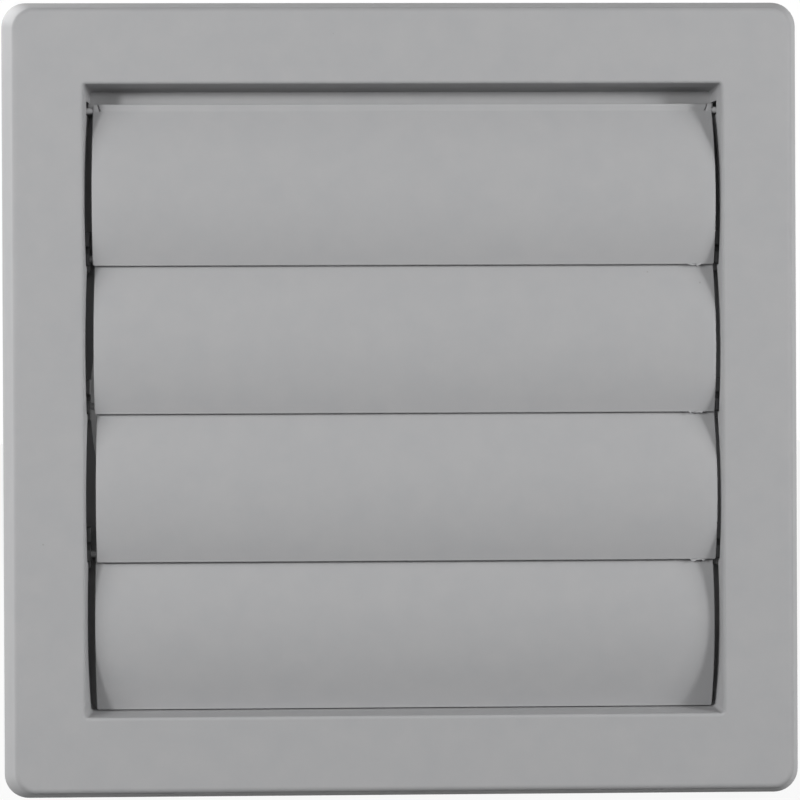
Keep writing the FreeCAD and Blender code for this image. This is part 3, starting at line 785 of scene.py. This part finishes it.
def seen_by_camera(tree, place):
    """Value that is 1 for rays from the camera, in a reflection or through glass, and 0 for light."""
    rays = new_node(tree, "ShaderNodeLightPath", (place[0] - 600, place[1]))
    total = new_node(tree, "ShaderNodeMath", (place[0] - 300, place[1]), operation="MAXIMUM")
    seen = new_node(tree, "ShaderNodeMath", place, operation="MAXIMUM")
    tree.links.new(rays.outputs["Is Camera Ray"], total.inputs[0])
    tree.links.new(rays.outputs["Is Glossy Ray"], total.inputs[1])
    tree.links.new(total.outputs["Value"], seen.inputs[0])
    tree.links.new(rays.outputs["Is Transmission Ray"], seen.inputs[1])
    return seen.outputs["Value"]


def soft_lamp(name, place, aim, size, power):
    """Rectangular area lamp that faces a point."""
    data = bpy.data.lights.new(name, "AREA")
    data.shape = "RECTANGLE"
    data.size, data.size_y = size
    data.energy = power
    lamp = bpy.data.objects.new(name, data)
    bpy.context.scene.collection.objects.link(lamp)
    lamp.location = place
    lamp.rotation_euler = (Vector(aim) - Vector(place)).to_track_quat("-Z", "Y").to_euler()


# Operators


class LouvreFrontFrame(bpy.types.Operator):
    """Build the front frame: drafted walls, round edges, and a window with scalloped lips"""

    bl_idname = "louvre.front_frame"
    bl_label = "Front frame"

    def execute(self, context):
        sizes = context.scene.louvre_frame
        shells = [frame_shell(sizes)]
        slope = math.tan(sizes.reveal_draft)
        bite = 0.5 * MM
        depth = sizes.flange_depth
        half = sizes.window_width / 2 - depth * slope + bite
        low = (depth, HINGES[0].z - sizes.flange_lap)
        high = (depth + sizes.lip_wall, sizes.window_height / 2 - depth * slope + bite)
        shells.append(bar_shell(-half, half, low, high, sizes.ease))
        depth = sizes.stop_depth
        half = sizes.window_width / 2 - sizes.stop_inset
        sill = -sizes.window_height / 2 + depth * slope
        low, high = (depth, sill - bite), (depth + sizes.lip_wall, sill + sizes.stop_height)
        shells.append(bar_shell(-half, half, low, high, sizes.ease))
        shells += self.gussets(sizes)
        shells += self.pegs(sizes)
        piece = moulding("frame_moulding", shells)
        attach(piece, "housing")
        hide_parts("front_frame")
        dress(piece, moulded_plastic("frame_plastic", context.scene.louvre_plastic))
        return {"FINISHED"}

    def gussets(self, sizes):
        """Triangles between the front plate and the outer wall, evenly spread along each side."""
        _, housing_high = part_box("flap_housing")
        sides = (
            (FRAME_HIGH.x, FRAME_HIGH.z, sizes.side_draft, housing_high.x, 0),
            (FRAME_HIGH.z, FRAME_HIGH.x, sizes.end_draft, housing_high.z, 1),
        )
        made = []
        for across, along, draft, clear, quarter in sides:
            slope = math.tan(draft)
            front = across - FRAME_DEPTH * slope - sizes.wall / 2
            foot = sizes.wall + sizes.rib_depth
            inner = clear + sizes.rib_gap
            corners = ((inner, sizes.wall / 2), (front, sizes.wall / 2), (front + foot * slope, foot))
            for rib_number in range(1, GUSSETS_PER_SIDE + 1):
                place = along * (-1 + 2 * rib_number / (GUSSETS_PER_SIDE + 1))
                points, faces = wedge_shell(corners, sizes.rib_wall)
                rib = (points + np.array([0, 0, place]), faces)
                made += [turned(rib, math.radians(90 * quarter + 180 * half)) for half in (0, 1)]
        return made

    def pegs(self, sizes):
        """Round pegs that push into the base plate's sockets."""
        ease, radius = sizes.peg_ease, sizes.peg_radius
        radii = np.concatenate([[radius], radius - ease * (1 - np.cos(EASE_TURN))])
        places = np.concatenate([[sizes.wall / 2], sizes.peg_depth - ease * (1 - np.sin(EASE_TURN))])
        points, faces = lathe_shell(places, radii, 32)
        upright = np.stack([points[:, 1], FRONT + points[:, 0], -points[:, 2]], axis=-1)
        corners = [(sx * sizes.peg_side, 0, sz * sizes.peg_rise) for sx in (-1, 1) for sz in (-1, 1)]
        return [(upright + np.array(corner), faces) for corner in corners]


class LouvreFlaps(bpy.types.Operator):
    """Build the four curved flaps with their beads, hems and pins"""

    bl_idname = "louvre.flaps"
    bl_label = "Flaps"

    def execute(self, context):
        sizes = context.scene.louvre_flaps
        plastic = moulded_plastic("flap_plastic", context.scene.louvre_plastic, grain_share=0.6)
        floats = (sizes.float_1, sizes.float_2, sizes.float_3, sizes.float_4)
        widths = (sizes.width_1, sizes.width_2, sizes.width_3, sizes.width_4)
        for index, (hinge, body, middle, width) in enumerate(zip(HINGES, FLAP_BODIES, floats, widths)):
            last = index == len(HINGES) - 1
            drop = sizes.last_drop if last else sizes.drop
            shells = [flap_plate_shell(sizes, hinge, middle, width, drop)]
            shells += bead_shells(sizes, hinge, middle, width)
            shells += pin_shells(sizes, hinge, width)
            if last:
                shells = [swung(shell, hinge, sizes.tuck) for shell in shells]
            else:
                shells.append(gate_shell(sizes, hinge, middle, 11 + index))
            piece = moulding(f"flap_moulding_{index + 1}", shells)
            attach(piece, body)
            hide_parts(body)
            dress(piece, plastic)
        return {"FINISHED"}


class LouvreBackParts(bpy.types.Operator):
    """Finish the base plate and flap housing: joined faces, broken edges and moulded plastic, darkened on the
    housing as painted shade
    """

    bl_idname = "louvre.back_parts"
    bl_label = "Base plate and flap housing"

    def execute(self, context):
        look = context.scene.louvre_plastic
        # The flap housing gets darker plastic as painted shade for the unlit chamber seen through the gaps.
        for name, shade in (("base_plate", 1.0), ("flap_housing", look.housing_painted_shade)):
            plastic = moulded_plastic(f"{name}_plastic", look, shade=shade, grain_share=0.8)
            node = frame["nodes"][name]
            node.data.materials.clear()
            node.data.materials.append(plastic)
            weld = node.modifiers.new("joined", "WELD")
            weld.merge_threshold = 0.002 * MM
            bevel = node.modifiers.new("broken_edges", "BEVEL")
            bevel.width = 0.2 * MM
            bevel.segments = 2
            bevel.limit_method = "ANGLE"
            bevel.angle_limit = math.radians(40)
        return {"FINISHED"}


class LouvreStudioSet(bpy.types.Operator):
    """Set up the camera, the soft lamps, the pale floor and the white background"""

    bl_idname = "louvre.studio"
    bl_label = "Studio"

    def execute(self, context):
        studio = context.scene.louvre_studio
        context.scene.view_settings.view_transform = "Standard"
        self.camera(context, studio)
        self.floor(studio)
        self.world(context, studio)
        for name, setting, place, aim_depth, size in LAMPS:
            soft_lamp(name, place, (0, aim_depth, 0), size, getattr(studio, setting))
        return {"FINISHED"}

    def camera(self, context, studio):
        """Camera turned by its pan about Z, then its tilt, then its roll."""
        turn = Matrix.Rotation(studio.tilt, 3, "X") @ Matrix.Rotation(studio.pan, 3, "Z")
        right, ahead, up = Matrix.Rotation(-studio.roll, 3, "Y") @ turn
        data = bpy.data.cameras.new("camera")
        data.sensor_fit = "HORIZONTAL"
        data.sensor_width = 36.0
        data.lens = studio.lens
        data.shift_x, data.shift_y = studio.shift_x, studio.shift_y
        data.clip_start = 0.01
        camera = bpy.data.objects.new("camera", data)
        context.scene.collection.objects.link(camera)
        facing = Matrix((right, up, -ahead)).transposed().to_4x4()
        camera.matrix_world = Matrix.Translation(studio.camera_place) @ facing
        context.scene.camera = camera

    def floor(self, studio):
        """Wide pale floor just below the frame, shown white to the camera apart from the object's shadow."""
        half = 3.0
        low = CAD_BOX[0].z - 0.3 * MM
        corners = [(-half, -half, low), (half, -half, low), (half, half, low), (-half, half, low)]
        mesh = bpy.data.meshes.new("floor")
        mesh.from_pydata(corners, [], [(0, 1, 2, 3)])
        floor = bpy.data.objects.new("floor", mesh)
        bpy.context.scene.collection.objects.link(floor)
        material = bpy.data.materials.new("floor_paper")
        material.use_nodes = True
        tree = material.node_tree
        tree.nodes.clear()
        shaded = new_node(tree, "ShaderNodeBsdfDiffuse", (300, -200))
        shaded.inputs["Color"].default_value = tuple(studio.floor_shade)
        paper = new_node(tree, "ShaderNodeBsdfDiffuse", (0, 0))
        paper.inputs["Color"].default_value = tuple(studio.floor_tone)
        white = new_node(tree, "ShaderNodeEmission", (0, 200), Strength=1.0)
        shown = new_node(tree, "ShaderNodeMixShader", (300, 100))
        shown.inputs["Fac"].default_value = studio.floor_white
        mixed = new_node(tree, "ShaderNodeMixShader", (600, 0))
        output = new_node(tree, "ShaderNodeOutputMaterial", (900, 0))
        tree.links.new(paper.outputs["BSDF"], shown.inputs[1])
        tree.links.new(white.outputs["Emission"], shown.inputs[2])
        tree.links.new(seen_by_camera(tree, (300, 400)), mixed.inputs["Fac"])
        tree.links.new(shaded.outputs["BSDF"], mixed.inputs[1])
        tree.links.new(shown.outputs["Shader"], mixed.inputs[2])
        tree.links.new(mixed.outputs["Shader"], output.inputs["Surface"])
        mesh.materials.append(material)

    def world(self, context, studio):
        """Dim even light all round, shown as white to the camera, in reflections and through glass."""
        world = bpy.data.worlds.new("studio")
        world.use_nodes = True
        tree = world.node_tree
        tree.nodes.clear()
        dim = new_node(tree, "ShaderNodeBackground", (0, 0), Strength=studio.ambient)
        dim.inputs["Color"].default_value = (1, 1, 1, 1)
        white = new_node(tree, "ShaderNodeBackground", (0, -200), Strength=1.0)
        white.inputs["Color"].default_value = (1, 1, 1, 1)
        mixed = new_node(tree, "ShaderNodeMixShader", (300, 0))
        output = new_node(tree, "ShaderNodeOutputWorld", (600, 0))
        tree.links.new(seen_by_camera(tree, (-100, 300)), mixed.inputs["Fac"])
        tree.links.new(dim.outputs["Background"], mixed.inputs[1])
        tree.links.new(white.outputs["Background"], mixed.inputs[2])
        tree.links.new(mixed.outputs["Shader"], output.inputs["Surface"])
        context.scene.world = world


class LouvrePanel(bpy.types.Panel):
    """Sidebar panel with the vent's sizes, finishes and builders"""

    bl_idname = "VIEW3D_PT_louvre_vent"
    bl_label = "Louvre Vent"
    bl_space_type = "VIEW_3D"
    bl_region_type = "UI"
    bl_category = "Louvre Vent"

    def draw(self, context):
        layout = self.layout
        for operator, owner in BUILDERS:
            box = layout.box()
            box.operator(operator.bl_idname)
            settings = getattr(context.scene, owner)
            for name in settings.bl_rna.properties.keys():
                if name not in ("name", "rna_type"):
                    box.prop(settings, name)


BUILDERS = (
    (LouvreFrontFrame, "louvre_frame"),
    (LouvreFlaps, "louvre_flaps"),
    (LouvreBackParts, "louvre_plastic"),
    (LouvreStudioSet, "louvre_studio"),
)

SETTINGS = {
    "louvre_frame": LouvreFrameSizes,
    "louvre_flaps": LouvreFlapSizes,
    "louvre_plastic": LouvrePlastic,
    "louvre_studio": LouvreStudio,
}

CLASSES = (*SETTINGS.values(), *[operator for operator, _ in BUILDERS], LouvrePanel)


def register():
    for item in CLASSES:
        bpy.utils.register_class(item)
    for name, kind in SETTINGS.items():
        setattr(bpy.types.Scene, name, PointerProperty(type=kind))


def unregister():
    for name in SETTINGS:
        delattr(bpy.types.Scene, name)
    for item in reversed(CLASSES):
        bpy.utils.unregister_class(item)


def main():
    register()
    bpy.ops.louvre.front_frame()
    bpy.ops.louvre.flaps()
    bpy.ops.louvre.back_parts()
    bpy.ops.louvre.studio()


if __name__ == "__main__":
    main()
